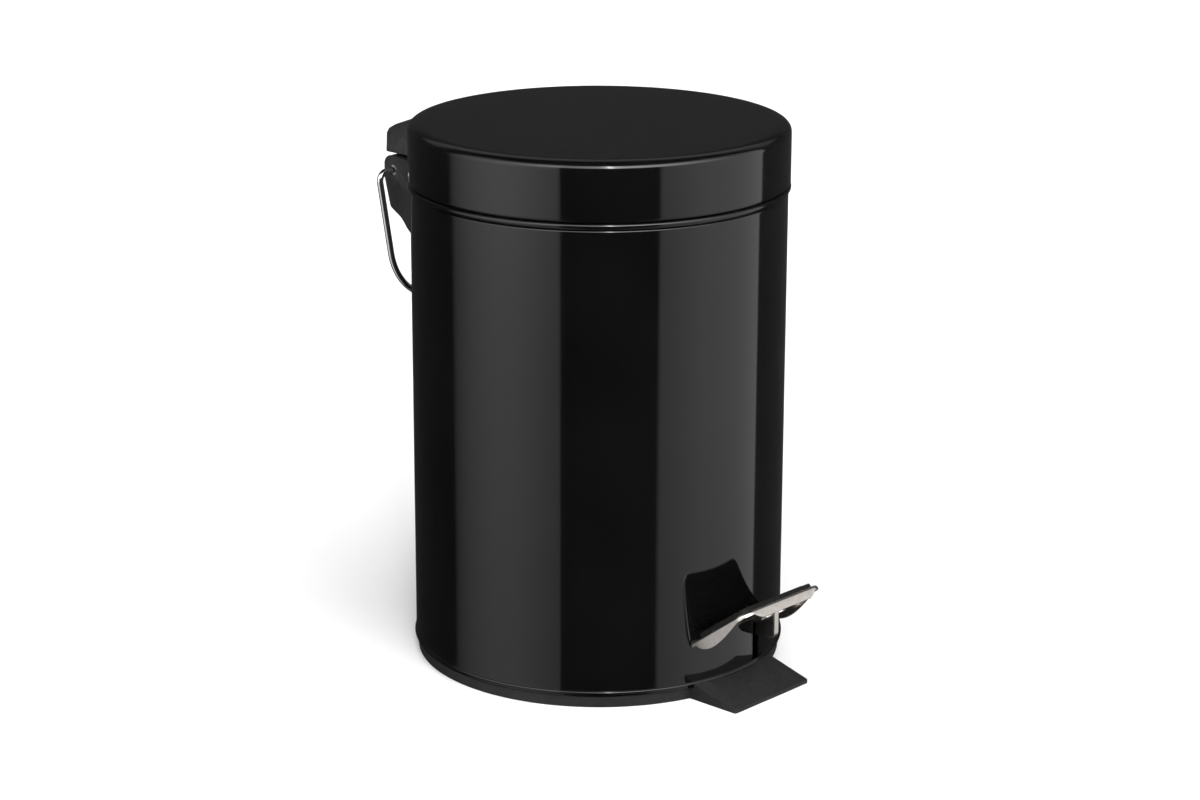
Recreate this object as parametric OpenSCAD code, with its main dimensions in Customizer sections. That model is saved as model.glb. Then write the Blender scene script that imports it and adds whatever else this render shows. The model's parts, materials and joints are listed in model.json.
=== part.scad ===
// Pedal bin with a hinged lid, a lift-out bucket and a rear carrying handle.
// Millimetres. +Z is up, the pedal points to -Y, and the origin is on the bin's
// axis in the plane that it stands on.

/* [Bin] */
// Outside diameter of the lid
lid_d = 170; // [168:1:172]
// Height from the floor to the top of the lid
total_h = 245; // [240:1:260]
// Height of the lid's side
lid_h = 26.2; // [24:0.1:27]
// Radius of the lid's top edge
lid_corner = 3.9; // [2:0.1:5]
// Thickness of the sheet steel
sheet = 0.8; // [0.6:0.1:0.9]

/* [Base] */
// Height of the plastic ring under the shell
ring_h = 5.1; // [4.5:0.1:5.5]
// Width of the toe plate in front of the base
toe_w = 50; // [40:1:60]
// Reach of the toe plate from the bin's axis
toe_reach = 105.4; // [98:0.1:110]

/* [Pedal] */
// Width of the pedal
pedal_w = 53; // [46:1:58]
// Length of the pedal along its slope
pedal_l = 33.8; // [30:0.1:36]
// Slope of the pedal at rest, in degrees
pedal_tilt = 36; // [30:0.1:36]
// Distance of the lever's plane from the bin's middle plane
lever_x = 15; // [13:0.5:16]

/* [Handle] */
// Diameter of the carrying handle's wire
bail_wire = 3; // [2.6:0.1:3]
// Radius of the handle's round end
bail_r = 30.3; // [30:0.1:32]
// Drop from the handle's pivot to the centre of its round end
bail_drop = 33.5; // [30:0.1:40]

/* [Hidden] */
$fn = 96;
eps = 0.01;

// Shell and lid
lid_r = lid_d / 2;
body_r = lid_r - 1;
body_in = body_r - sheet;
lid_z = total_h - lid_h;
bead_wire = 1.5;
bead_z = lid_z - 0.3 - bead_wire;
bead_r = body_r - 0.3;
neck_r = body_r - 1;
neck_top = lid_z + 3.2;
foot_bead_z = ring_h + 2.1;
foot_bead_wire = 0.8;
foot_flange_in = body_r - 8;

// Base
ring_r = body_r - 0.95;
floor_t = 3;
pad_r = 7;
pad_ring = 62;
pad_t = 2.2;
toe_tip = 1.6;
toe_root = 7.4;
base_screw_ring = body_r - 4.4;

// Hinge
hinge_y = body_r + 20;
hinge_z = lid_z - 7.8;
knuckle_r = 5.5;
tube_r = 2.5;
tube_bore = bail_wire / 2 + 0.07;
bracket_half = 28;
ear_in = 20;
cap_half = 27;
bracket_top = lid_z - 4;
ear_y = hinge_y + 1;
ear_z = hinge_z + 2.3;

// Push rod and lever
lid_open = 75;
lug_r = 15;
rod_r = 1.75;
lug_angle = lid_open / 2;
hook_y = hinge_y - lug_r * cos(lug_angle);
rod_travel = 2 * lug_r * sin(lug_angle);
hook_z = hinge_z - rod_travel / 2;
rod_x = lever_x - 4.5;
rod_y = body_r - 7.5;
rod_end = lever_x + 4.5;
lug_t = 3.2;
blade_t = 3;
pivot_y = -20;
pivot_z = 20.5;
eye_z = pivot_z - rod_travel / 2;
jog_top = hook_z - 11.9;
jog_bottom = jog_top - (hook_y - rod_y);
guide_z = 118;

// Bucket
lip_z = neck_top;
lip_t = 1.2;
bucket_top_r = 72.5;
bucket_foot_r = 66;
bucket_z = 38;
bucket_t = 1.4;
bail2_z = lip_z + 6;
bail2_r = 71;
bail2_wire = 1.5;
grip_r = 3.3;

black_paint = [0.03, 0.03, 0.032];
black_plastic = [0.09, 0.09, 0.095];
dark_rubber = [0.05, 0.05, 0.05];
nickel = [0.78, 0.75, 0.72];
chrome = [0.85, 0.85, 0.87];
zinc = [0.66, 0.68, 0.7];
grey_plastic = [0.3, 0.31, 0.32];

// A tube standing on z0
module tube(r_out, r_in, z0, z1) {
    translate([0, 0, z0])
        difference() {
            cylinder(r = r_out, h = z1 - z0);
            translate([0, 0, -1])
                cylinder(r = r_in, h = z1 - z0 + 2);
        }
}

// A ring of round wire
module hoop(ring, wire, z) {
    translate([0, 0, z])
        rotate_extrude()
            translate([ring, 0])
                circle(r = wire, $fn = 48);
}

// A cylinder along X
module x_rod(r, x0, x1, y, z) {
    translate([x0, y, z])
        rotate([0, 90, 0])
            cylinder(r = r, h = x1 - x0, $fn = 48);
}

// A round bar between two points
module bar(a, b, r) {
    d = b - a;
    length = norm(d);
    turn = atan2(d[1], d[0]);
    lean = acos(d[2] / length);
    translate(a)
        rotate([0, lean, turn])
            cylinder(r = r, h = length, $fn = 48);
}

// Round wire through a list of points, with a slightly fuller bend at each
module wire(points, r) {
    for (i = [0 : len(points) - 2])
        bar(points[i], points[i + 1], r);
    for (i = [1 : len(points) - 2])
        translate(points[i])
            sphere(r = r + 0.1, $fn = 48);
}

// An outline in Y and Z, extruded along X
module side_plate(x0, x1) {
    translate([x0, 0, 0])
        rotate([90, 0, 90])
            linear_extrude(x1 - x0)
                children();
}

// A rectangle with round front corners, its rear edge on y = 0
module tongue(half, length, corner) {
    translate([-half, -length + corner])
        square([2 * half, length - corner]);
    translate([-half + corner, -length])
        square([2 * (half - corner), corner + eps]);
    for (side = [-1, 1])
        translate([side * (half - corner), -length + corner])
            circle(r = corner, $fn = 48);
}

// Half section of a pan turned upside down
module pan_section(r, z0, z1, corner) {
    translate([0, z0])
        square([r, z1 - corner - z0]);
    translate([0, z0])
        square([r - corner, z1 - z0]);
    translate([r - corner, z1 - corner])
        circle(r = corner, $fn = 96);
}

// Bolt positions of the hinge bracket, as an angle about the bin's axis and a height
bracket_bolts = [for (a = [-16.3, 16.3]) for (z = [hinge_z - 29, hinge_z - 6]) [a, z]];
bolt_head = 2.8;
bolt_shank = 1.5;

// Places its children on the inside of the wall, with +Z pointing outwards
module on_wall(angle, z, r) {
    rotate([0, 0, -angle])
        translate([0, r, z])
            rotate([-90, 0, 0])
                children();
}

module pan_screw(shank_l) {
    cylinder(r = bolt_shank, h = shank_l, $fn = 32);
    translate([0, 0, -1.9])
        difference() {
            cylinder(r = bolt_head, h = 1.9, $fn = 32);
            for (turn = [0, 90])
                rotate([0, 0, turn])
                    translate([-1.6, -0.35, -eps])
                        cube([3.2, 0.7, 1.1]);
        }
}

module rod_slot(r_in, r_out) {
    translate([rod_x - 3, r_in, jog_bottom + 2])
        cube([6, r_out - r_in, rod_travel + 9.5]);
}

module body_shell() {
    color(black_paint)
        difference() {
            union() {
                tube(body_r, body_in, ring_h, bead_z);
                tube(body_r, foot_flange_in, ring_h, ring_h + sheet);
                tube(body_r, neck_r - sheet, bead_z - 1, bead_z);
                tube(neck_r, neck_r - sheet, bead_z - 0.5, neck_top);
                hoop(bead_r, bead_wire, bead_z);
                hoop(body_r - 0.1, foot_bead_wire, foot_bead_z);
            }
            // Slot for the pedal lever
            translate([lever_x - 2.6, -body_r - 3, 8.2])
                cube([5.2, 9, 21.6]);
            // Slot for the push rod, covered by the hinge bracket
            rod_slot(body_r - 9, body_r + 2);
            for (bolt = bracket_bolts)
                on_wall(bolt[0], bolt[1], body_r - 4)
                    cylinder(r = 1.6, h = 8, $fn = 32);
            base_screw_holes(1.6, ring_h - 1, ring_h + 2);
        }
}

module base_screw_holes(r, z0, z1) {
    for (turn = [45 : 90 : 315])
        rotate([0, 0, turn])
            translate([base_screw_ring, 0, z0])
                cylinder(r = r, h = z1 - z0, $fn = 32);
}

module toe_plate() {
    intersection() {
        side_plate(-toe_w / 2, toe_w / 2)
            polygon([[-70, 0], [-toe_reach, 0], [-toe_reach, toe_tip],
                [-body_r + 1, toe_root], [-70, toe_root]]);
        translate([0, -60, -1])
            linear_extrude(20)
                tongue(toe_w / 2, toe_reach - 60, 1);
    }
}

module base() {
    color(black_plastic)
        difference() {
            union() {
                cylinder(r = ring_r, h = floor_t);
                tube(ring_r, body_r - 12, 0, ring_h);
                tube(foot_flange_in - 0.3, foot_flange_in - 2.5, 0, ring_h + 1.8);
                toe_plate();
                // Pad under the lever bracket
                translate([lever_x - 16, pivot_y - 16, 0])
                    cube([32, 32, 7]);
                // Ribs
                for (turn = [0 : 45 : 315])
                    rotate([0, 0, turn + 22.5])
                        translate([26, -0.8, 0])
                            cube([body_r - 12 - 25, 1.6, ring_h]);
                tube(28, 26.2, 0, ring_h);
            }
            tube(body_r + 0.9, foot_flange_in + eps, ring_h, 20);
            translate([0, 0, ring_h + 1.8])
                cylinder(r = foot_flange_in, h = 0.2);
            for (turn = [45 : 90 : 315])
                rotate([0, 0, turn])
                    translate([pad_ring, 0, -1])
                        cylinder(r = pad_r, h = pad_t + 1, $fn = 48);
            base_screw_holes(1.55, 1.4, ring_h + 1);
            for (sx = [-8, 8])
                for (sy = [-9, 9])
                    translate([lever_x + sx, pivot_y + sy, 2.4])
                        cylinder(r = 1.55, h = 6, $fn = 32);
        }
}

module anti_slip_pads() {
    color(dark_rubber)
        for (turn = [45 : 90 : 315])
            rotate([0, 0, turn])
                translate([pad_ring, 0, 0])
                    cylinder(r = pad_r, h = pad_t, $fn = 48);
}

module base_screws() {
    color(zinc)
        for (turn = [45 : 90 : 315])
            rotate([0, 0, turn])
                translate([base_screw_ring, 0, ring_h + sheet])
                    rotate([180, 0, 0])
                        pan_screw(4.2);
}

// Outline of the hinge bracket seen from the side
module bracket_side() {
    polygon([[body_r - 4, hinge_z - 51], [body_r + 3.4, hinge_z - 45],
        [body_r + 8.5, hinge_z - 33], [body_r + 12.5, hinge_z - 24],
        [body_r + 15, hinge_z - 21.4], [body_r + 21.8, hinge_z - 17.5],
        [hinge_y + 5.3, hinge_z - 4], [hinge_y + knuckle_r, hinge_z],
        [hinge_y + knuckle_r, ear_z], [ear_y, ear_z],
        [ear_y, ear_z + 4.5], [body_r + 3.5, bracket_top + 1.4],
        [body_r + 2.5, bracket_top], [body_r - 4, bracket_top]]);
    translate([hinge_y, hinge_z])
        circle(r = knuckle_r, $fn = 64);
    translate([ear_y, ear_z])
        circle(r = knuckle_r - 1, $fn = 64);
}

// Outline of the hinge bracket seen from behind
module bracket_back() {
    corner = 7;
    foot_half = 16;
    polygon([[-bracket_half, hinge_z + 8], [-bracket_half, hinge_z - 25],
        [-foot_half - corner, hinge_z - 51 + corner], [foot_half + corner, hinge_z - 51 + corner],
        [bracket_half, hinge_z - 25], [bracket_half, hinge_z + 8]]);
    translate([-foot_half, hinge_z - 51])
        square([2 * foot_half, corner + eps]);
    for (side = [-1, 1])
        translate([side * foot_half, hinge_z - 51 + corner])
            circle(r = corner, $fn = 48);
}

module hinge_bracket() {
    color(black_plastic)
        difference() {
            intersection() {
                side_plate(-bracket_half, bracket_half)
                    bracket_side();
                translate([0, hinge_y + 20, 0])
                    rotate([90, 0, 0])
                        linear_extrude(60)
                            bracket_back();
            }
            translate([0, 0, 100])
                cylinder(r = body_r + 0.05, h = 150, $fn = 128);
            // Room for the lid's knuckle
            translate([-ear_in, hinge_y - 7, hinge_z - 6.2])
                cube([2 * ear_in, 30, 40]);
            // Channel for the rod and the lid's lug
            side_plate(rod_x - 4, lever_x + 5.5)
                polygon([[body_r - 6, hinge_z - 35], [body_r + 2, hinge_z - 33],
                    [body_r + 11.2, hinge_z - 21], [body_r + 17, hinge_z - 14],
                    [body_r + 19.5, hinge_z - 7], [body_r + 19.5, hinge_z + 20],
                    [body_r - 6, hinge_z + 20]]);
            x_rod(tube_r, -bracket_half - 1, bracket_half + 1, hinge_y, hinge_z);
            for (bolt = bracket_bolts)
                on_wall(bolt[0], bolt[1], body_r - 4)
                    cylinder(r = 1.55, h = 11.4, $fn = 32);
        }
}

module bracket_backing_plate() {
    color(zinc)
        difference() {
            intersection() {
                tube(body_in - eps, body_in - 0.8, hinge_z - 36, hinge_z + 1);
                translate([-27, 0, 0])
                    cube([54, 100, 300]);
            }
            rod_slot(body_r - 9, body_r + 2);
            for (bolt = bracket_bolts)
                on_wall(bolt[0], bolt[1], body_r - 4)
                    cylinder(r = 1.6, h = 8, $fn = 32);
        }
}

module bracket_screws() {
    color(zinc)
        for (bolt = bracket_bolts)
            on_wall(bolt[0], bolt[1], body_in - 0.88)
                pan_screw(8.7);
}

module hinge_tube() {
    color(zinc)
        difference() {
            x_rod(tube_r, -bracket_half, bracket_half, hinge_y, hinge_z);
            x_rod(tube_bore, -bracket_half - 1, bracket_half + 1, hinge_y, hinge_z);
        }
}

module carry_handle() {
    r = bail_wire / 2;
    elbow = 4;
    shoulder = bail_r + 5.2;
    color(chrome)
        translate([0, hinge_y, hinge_z]) {
            for (side = [-1, 1]) {
                top = [side * shoulder, 0, -elbow];
                knee = [side * bail_r, 0, -bail_drop];
                along = (knee - top) / norm(knee - top);
                wire([[side * ear_in, 0, 0], [side * (shoulder - elbow), 0, 0],
                    top, knee - 0.6 * along], r);
                // Bead that joins the leg to the round end
                translate(knee)
                    sphere(r = r + 0.4, $fn = 48);
            }
            translate([0, 0, -bail_drop])
                rotate([-90, 0, 0])
                    rotate_extrude(angle = 180)
                        translate([bail_r, 0])
                            circle(r = r, $fn = 48);
        }
}

module rod_guide() {
    color(black_plastic)
        difference() {
            intersection() {
                translate([rod_x - 6, rod_y - 3.8, guide_z])
                    cube([12, 20, 9]);
                cylinder(r = body_in - 0.03, h = 200, $fn = 128);
            }
            translate([rod_x, rod_y, guide_z - 1])
                cylinder(r = rod_r + 0.08, h = 12, $fn = 48);
        }
}

module lever_bracket() {
    color(zinc)
        difference() {
            union() {
                translate([lever_x - 11, pivot_y - 13, 7])
                    cube([22, 26, 1.5]);
                for (side = [-1, 1])
                    side_plate(lever_x + side * 4 - 0.75, lever_x + side * 4 + 0.75) {
                        translate([pivot_y - 7, 7.5])
                            square([14, pivot_z - 7.5]);
                        translate([pivot_y, pivot_z])
                            circle(r = 7, $fn = 64);
                    }
            }
            x_rod(2, lever_x - 9, lever_x + 9, pivot_y, pivot_z);
            for (sx = [-8, 8])
                for (sy = [-9, 9])
                    translate([lever_x + sx, pivot_y + sy, 6])
                        cylinder(r = 1.6, h = 4, $fn = 32);
        }
}

module lever_bracket_screws() {
    color(zinc)
        for (sx = [-8, 8])
            for (sy = [-9, 9])
                translate([lever_x + sx, pivot_y + sy, 8.5])
                    rotate([180, 0, 0])
                        pan_screw(5.8);
}

module lever_pivot_pin() {
    color(zinc) {
        x_rod(2, lever_x - 4.75, lever_x + 7.5, pivot_y, pivot_z);
        x_rod(3.2, lever_x - 6.2, lever_x - 4.75, pivot_y, pivot_z);
    }
}

module pivot_pin_clip() {
    color(zinc)
        difference() {
            x_rod(3.4, lever_x + 4.85, lever_x + 5.75, pivot_y, pivot_z);
            x_rod(2, lever_x + 4, lever_x + 7, pivot_y, pivot_z);
        }
}

lid_bolts = [for (a = [-13.8, 13.8]) [a, lid_z + 12]];

module lid_shell() {
    color(black_paint)
        difference() {
            union() {
                rotate_extrude($fn = 128)
                    difference() {
                        pan_section(lid_r, lid_z, total_h, lid_corner);
                        pan_section(lid_r - sheet, lid_z - 1, total_h - sheet, lid_corner - sheet);
                    }
                tube(lid_r, lid_r - 1.2, lid_z, lid_z + 0.8);
            }
            for (bolt = lid_bolts)
                on_wall(bolt[0], bolt[1], lid_r - 4)
                    cylinder(r = 1.6, h = 8, $fn = 32);
        }
}

// Outline of the hinge cap seen from the side
module cap_side() {
    polygon([[lid_r - 9, lid_z + 20], [lid_r + 3.5, lid_z + 19.2], [lid_r + 18, lid_z + 13.8],
        [lid_r + 22.4, lid_z + 11.4], [lid_r + 23.9, lid_z + 9], [lid_r + 24.4, lid_z],
        [lid_r - 9, lid_z]]);
}

module lid_lug() {
    tip = 3.7;
    far = lug_r + 0.2;
    slot = 2.36;
    side_plate(lever_x - lug_t / 2, lever_x + lug_t / 2)
        translate([hinge_y, hinge_z])
            rotate(lug_angle)
                difference() {
                    union() {
                        polygon([[0, -4.6], [0, 4.6], [-far, tip], [-far, -tip]]);
                        translate([-far, 0])
                            circle(r = tip, $fn = 48);
                    }
                    translate([-far, -slot])
                        square([3.6, 2 * slot]);
                    for (place = [-far, 3.6 - far])
                        translate([place, 0])
                            circle(r = slot, $fn = 48);
                }
}

module lid_hinge_cap() {
    color(black_plastic)
        difference() {
            union() {
                side_plate(-cap_half, cap_half)
                    cap_side();
                translate([-ear_in + 0.4, hinge_y - knuckle_r, hinge_z])
                    cube([2 * ear_in - 0.8, 2 * knuckle_r, lid_z - hinge_z + 1]);
                x_rod(knuckle_r, -ear_in + 0.4, ear_in - 0.4, hinge_y, hinge_z);
                lid_lug();
            }
            translate([0, 0, lid_z - 1])
                cylinder(r = lid_r + 0.03, h = 40, $fn = 128);
            x_rod(tube_r + 0.06, -ear_in - 1, ear_in + 1, hinge_y, hinge_z);
            for (bolt = lid_bolts)
                on_wall(bolt[0], bolt[1], lid_r - 4)
                    cylinder(r = 1.55, h = 12.4, $fn = 32);
        }
}

module lid_backing_plate() {
    color(zinc)
        difference() {
            intersection() {
                tube(lid_r - sheet - eps, lid_r - sheet - 0.8, lid_z + 6.6, lid_z + 17.4);
                translate([-25, 0, 0])
                    cube([50, 100, 300]);
            }
            for (bolt = lid_bolts)
                on_wall(bolt[0], bolt[1], lid_r - 4)
                    cylinder(r = 1.6, h = 8, $fn = 32);
        }
}

module lid_screws() {
    color(zinc)
        for (bolt = lid_bolts)
            on_wall(bolt[0], bolt[1], lid_r - sheet - 0.88)
                pan_screw(9.6);
}

module push_rod() {
    color(zinc)
        wire([[rod_end, rod_y, eye_z], [rod_x, rod_y, eye_z], [rod_x, rod_y, jog_bottom],
            [rod_x, hook_y, jog_top], [rod_x, hook_y, hook_z], [rod_end, hook_y, hook_z]], rod_r);
}

module rod_clips() {
    color(zinc)
        for (place = [[rod_y, eye_z], [hook_y, hook_z]])
            difference() {
                x_rod(3.1, lever_x + 2, lever_x + 3, place[0], place[1]);
                x_rod(rod_r, lever_x + 1, lever_x + 4, place[0], place[1]);
            }
}

// Places its children in the pedal's own frame: its top is z = 0 and its front is -Y
pedal_root = [0, -body_r + 1, 29];
module on_pedal() {
    translate(pedal_root)
        rotate([-pedal_tilt, 0, 0])
            children();
}

pedal_sheet = 1;
flange_t = 1.5;

// A point under the pedal, at a distance from its rear edge and a depth below its top
function under(u, depth) = [-body_r + 1 - u * cos(pedal_tilt) - depth * sin(pedal_tilt),
    29 + u * sin(pedal_tilt) - depth * cos(pedal_tilt)];

module pedal_lever() {
    eye_r = 3.7;
    front = -body_r + 1.4;
    toe = -90.7;
    nose = -94.7;
    color(nickel)
        difference() {
            union() {
                side_plate(lever_x - blade_t / 2, lever_x + blade_t / 2) {
                    translate([rod_y, eye_z])
                        circle(r = eye_r, $fn = 48);
                    polygon([[rod_y, eye_z + 3.2], [rod_y, eye_z - 3.2],
                        [pivot_y, pivot_z - 4.5], [pivot_y, pivot_z + 4.5]]);
                    polygon([[pivot_y, pivot_z + 4.5], [pivot_y, pivot_z - 4.5], [front, pivot_z],
                        [toe, pivot_z], [nose, pivot_z + 4], under(13.2, 1.8), under(1, 1.8), [front, 26.8]]);
                    // Front end, turned up in a J
                    translate([toe, pivot_z + 4])
                        circle(r = 4, $fn = 48);
                }
                x_rod(5.5, lever_x - 3, lever_x + 3, pivot_y, pivot_z);
                on_pedal()
                    translate([lever_x - 7, -14.4, -pedal_sheet - flange_t])
                        cube([14, 11, flange_t]);
            }
            x_rod(2.06, lever_x - 9, lever_x + 9, pivot_y, pivot_z);
            for (shift = [-0.25, 0.35])
                x_rod(rod_r + 0.3, lever_x - 5, lever_x + 5, rod_y + shift, eye_z);
            on_pedal()
                rivet_places()
                    translate([0, 0, -9])
                        cylinder(r = 2, h = 12, $fn = 32);
        }
}

module rivet_places() {
    for (side = [-1, 1])
        translate([lever_x + side * 4.4, -9, 0])
            children();
}

// Depth of the pedal's side skirt at a distance from its rear edge
function lobe(u) = 0.8 + 0.03 * u + 5.3 * sin(180 * pow((u + 2) / 32, 0.571));

module pedal_plate() {
    half = pedal_w / 2;
    corner = 6;
    rim = 2.3;
    front_depth = 4.8;
    steps = 14;
    color(nickel)
        difference() {
            on_pedal() {
                translate([0, 0, -pedal_sheet])
                    linear_extrude(pedal_sheet)
                        translate([0, 4])
                            tongue(half, pedal_l + 4, corner);
                translate([0, 0, -rim])
                    linear_extrude(rim)
                        difference() {
                            translate([0, 4])
                                tongue(half, pedal_l + 4, corner);
                            translate([0, 4 + eps])
                                tongue(half - pedal_sheet, pedal_l + 3, corner - pedal_sheet);
                        }
                for (side = [-1, 1])
                    side_plate(side * (half - pedal_sheet / 2) - pedal_sheet / 2,
                        side * (half - pedal_sheet / 2) + pedal_sheet / 2)
                        polygon(concat([[-28, -0.2], [2, -0.2]],
                            [for (i = [0 : steps]) let (u = -2 + 30 * i / steps) [-u, -lobe(u)]]));
                translate([0, -pedal_l + pedal_sheet, 0])
                    rotate([90, 0, 0])
                        linear_extrude(pedal_sheet)
                            polygon([[-half + corner, -0.2], [-half + corner, -rim], [-17, -front_depth],
                                [17, -front_depth], [half - corner, -rim], [half - corner, -0.2]]);
            }
            cylinder(r = body_r + 1.3, h = 60, $fn = 128);
            on_pedal()
                rivet_places()
                    translate([0, 0, -9])
                        cylinder(r = 2, h = 12, $fn = 32);
        }
}

module pedal_pad() {
    color(dark_rubber)
        difference() {
            on_pedal() {
                linear_extrude(1.9)
                    translate([0, 4])
                        tongue(pedal_w / 2 - 2.4, pedal_l + 4 - 2.4, 4);
                for (i = [0 : 5])
                    translate([-pedal_w / 2 + 5.5, -pedal_l + 6 + i * 4.2, 1.8])
                        cube([pedal_w - 11, 2, 0.6]);
            }
            cylinder(r = body_r + 3.2, h = 60, $fn = 128);
        }
}

module pedal_rivets() {
    color(nickel)
        on_pedal()
            rivet_places() {
                translate([0, 0, -pedal_sheet - flange_t - 1])
                    cylinder(r = 2, h = pedal_sheet + flange_t + 1, $fn = 32);
                translate([0, 0, -pedal_sheet - flange_t - 1.1])
                    cylinder(r = 3.2, h = 1.1, $fn = 32);
            }
}

module inner_bucket() {
    lug_x = bail2_r + 2.5;
    color(grey_plastic)
        difference() {
            union() {
                rotate_extrude($fn = 128)
                    polygon([[0, bucket_z], [bucket_foot_r, bucket_z], [bucket_top_r, lip_z],
                        [neck_r + 0.2, lip_z], [neck_r + 0.2, lip_z + lip_t],
                        [bucket_top_r - bucket_t, lip_z + lip_t],
                        [bucket_foot_r - bucket_t, bucket_z + bucket_t], [0, bucket_z + bucket_t]]);
                tube(neck_r - sheet - 0.5, neck_r - sheet - 1.7, lip_z - 5, lip_z + eps);
                for (side = [-1, 1])
                    side_plate(side * lug_x - 2, side * lug_x + 2) {
                        translate([-4, lip_z + 0.5])
                            square([8, bail2_z - lip_z - 0.5]);
                        translate([0, bail2_z])
                            circle(r = 4, $fn = 48);
                    }
            }
            x_rod(bail2_wire + 0.07, -90, 90, 0, bail2_z);
        }
}

module bucket_handle() {
    ring = bail2_r - 1.6;
    color(chrome)
        translate([0, 0, bail2_z]) {
            rotate_extrude(angle = 180)
                translate([ring, 0])
                    circle(r = bail2_wire - 0.15, $fn = 48);
            for (side = [-1, 1])
                bar([side * (ring - 2), 0, 0], [side * (ring + 7.2), 0, 0], bail2_wire);
        }
}

module bucket_handle_grip() {
    color(black_plastic)
        translate([0, 0, bail2_z])
            rotate([0, 0, 72])
                rotate_extrude(angle = 36)
                    translate([bail2_r - 1.6, 0])
                        difference() {
                            circle(r = grip_r, $fn = 48);
                            circle(r = bail2_wire - 0.15, $fn = 48);
                        }
}

body_shell();
base();
anti_slip_pads();
base_screws();
hinge_bracket();
bracket_backing_plate();
bracket_screws();
hinge_tube();
carry_handle();
rod_guide();
lever_bracket();
lever_bracket_screws();
lever_pivot_pin();
pivot_pin_clip();
lid_shell();
lid_hinge_cap();
lid_backing_plate();
lid_screws();
push_rod();
rod_clips();
pedal_lever();
pedal_plate();
pedal_pad();
pedal_rivets();
inner_bucket();
bucket_handle();
bucket_handle_grip();
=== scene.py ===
"""The looks of the pedal bin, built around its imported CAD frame.

Lengths are in millimetres until a mesh is made. Bump depths and merge distances are in metres.
"""

import json
import math

import bmesh
import bpy
import numpy as np
from mathutils import Matrix, Vector


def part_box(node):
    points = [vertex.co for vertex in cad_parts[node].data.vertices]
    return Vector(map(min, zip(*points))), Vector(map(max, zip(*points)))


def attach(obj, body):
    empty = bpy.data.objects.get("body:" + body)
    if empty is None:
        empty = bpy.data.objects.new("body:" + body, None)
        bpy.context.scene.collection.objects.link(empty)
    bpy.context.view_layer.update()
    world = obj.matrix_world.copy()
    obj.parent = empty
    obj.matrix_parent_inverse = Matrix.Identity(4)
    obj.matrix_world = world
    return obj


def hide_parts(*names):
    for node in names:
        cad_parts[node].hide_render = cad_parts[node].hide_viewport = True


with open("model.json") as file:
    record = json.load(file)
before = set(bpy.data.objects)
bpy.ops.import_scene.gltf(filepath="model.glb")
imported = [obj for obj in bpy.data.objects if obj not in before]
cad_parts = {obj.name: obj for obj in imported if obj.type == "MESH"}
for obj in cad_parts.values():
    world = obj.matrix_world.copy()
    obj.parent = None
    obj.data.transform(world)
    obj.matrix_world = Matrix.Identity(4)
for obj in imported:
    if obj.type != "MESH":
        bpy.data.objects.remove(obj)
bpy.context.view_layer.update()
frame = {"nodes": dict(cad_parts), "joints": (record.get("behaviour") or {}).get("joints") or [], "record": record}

MM = 0.001
TURN_STEPS = 288


def span(node):
    """Lowest and highest corner of a CAD node, in millimetres."""
    low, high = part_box(node)
    return np.array(low) / MM, np.array(high) / MM


def joint_point(name):
    found = next(j for j in frame["joints"] if j["name"] == name)
    return np.array(found["pos_m"]) / MM


# ---------------------------------------------------------------- meshes


def finish_mesh(ob, sharp=38, merge=1e-6):
    """Welds the mesh, turns its faces outwards and smooths it up to an angle."""
    bm = bmesh.new()
    bm.from_mesh(ob.data)
    bmesh.ops.remove_doubles(bm, verts=bm.verts, dist=merge)
    bmesh.ops.dissolve_degenerate(bm, edges=bm.edges, dist=1e-8)
    bmesh.ops.recalc_face_normals(bm, faces=bm.faces)
    bm.to_mesh(ob.data)
    bm.free()
    ob.data.polygons.foreach_set("use_smooth", [True] * len(ob.data.polygons))
    ob.data.set_sharp_from_angle(angle=math.radians(sharp))
    return ob


def new_object(name, mesh):
    ob = bpy.data.objects.new(name, mesh)
    bpy.context.scene.collection.objects.link(ob)
    return ob


def make(name, verts, faces, sharp=38):
    mesh = bpy.data.meshes.new(name)
    mesh.from_pydata([[float(c) * MM for c in v] for v in verts], [], faces)
    return finish_mesh(new_object(name, mesh), sharp)


def apply_modifiers(ob):
    graph = bpy.context.evaluated_depsgraph_get()
    mesh = bpy.data.meshes.new_from_object(ob.evaluated_get(graph))
    ob.modifiers.clear()
    ob.data = mesh


def bevel(ob, width, segments=3, angle=40):
    m = ob.modifiers.new("bevel", "BEVEL")
    m.width = width * MM
    m.segments = segments
    m.limit_method = "ANGLE"
    m.angle_limit = math.radians(angle)
    apply_modifiers(ob)
    return finish_mesh(ob)


def combine(ob, tool, operation):
    m = ob.modifiers.new("combine", "BOOLEAN")
    m.object = tool
    m.operation = operation
    m.solver = "EXACT"
    apply_modifiers(ob)
    bpy.data.objects.remove(tool)
    return finish_mesh(ob)


def cut(ob, tool):
    return combine(ob, tool, "DIFFERENCE")


def fuse(ob, tool):
    return combine(ob, tool, "UNION")


def fillet(points, radii, steps=6, closed=True):
    """The points as a line with round corners."""
    points = [np.array(p, float) for p in points]
    out = []
    for i, (p, r) in enumerate(zip(points, radii)):
        if r == 0 or (not closed and i in (0, len(points) - 1)):
            out.append(p)
            continue
        a = points[i - 1] - p
        b = points[(i + 1) % len(points)] - p
        a, b = a / np.linalg.norm(a), b / np.linalg.norm(b)
        half = math.acos(np.clip(a @ b, -1, 1)) / 2
        middle = (a + b) / np.linalg.norm(a + b)
        centre = p + middle * r / math.sin(half)
        start, end = p + a * r / math.tan(half) - centre, p + b * r / math.tan(half) - centre
        sweep = math.pi - 2 * half
        for k in range(steps + 1):
            t = k / steps
            along = math.sin((1 - t) * sweep) * start + math.sin(t * sweep) * end
            out.append(centre + along / math.sin(sweep))
    return out


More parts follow.
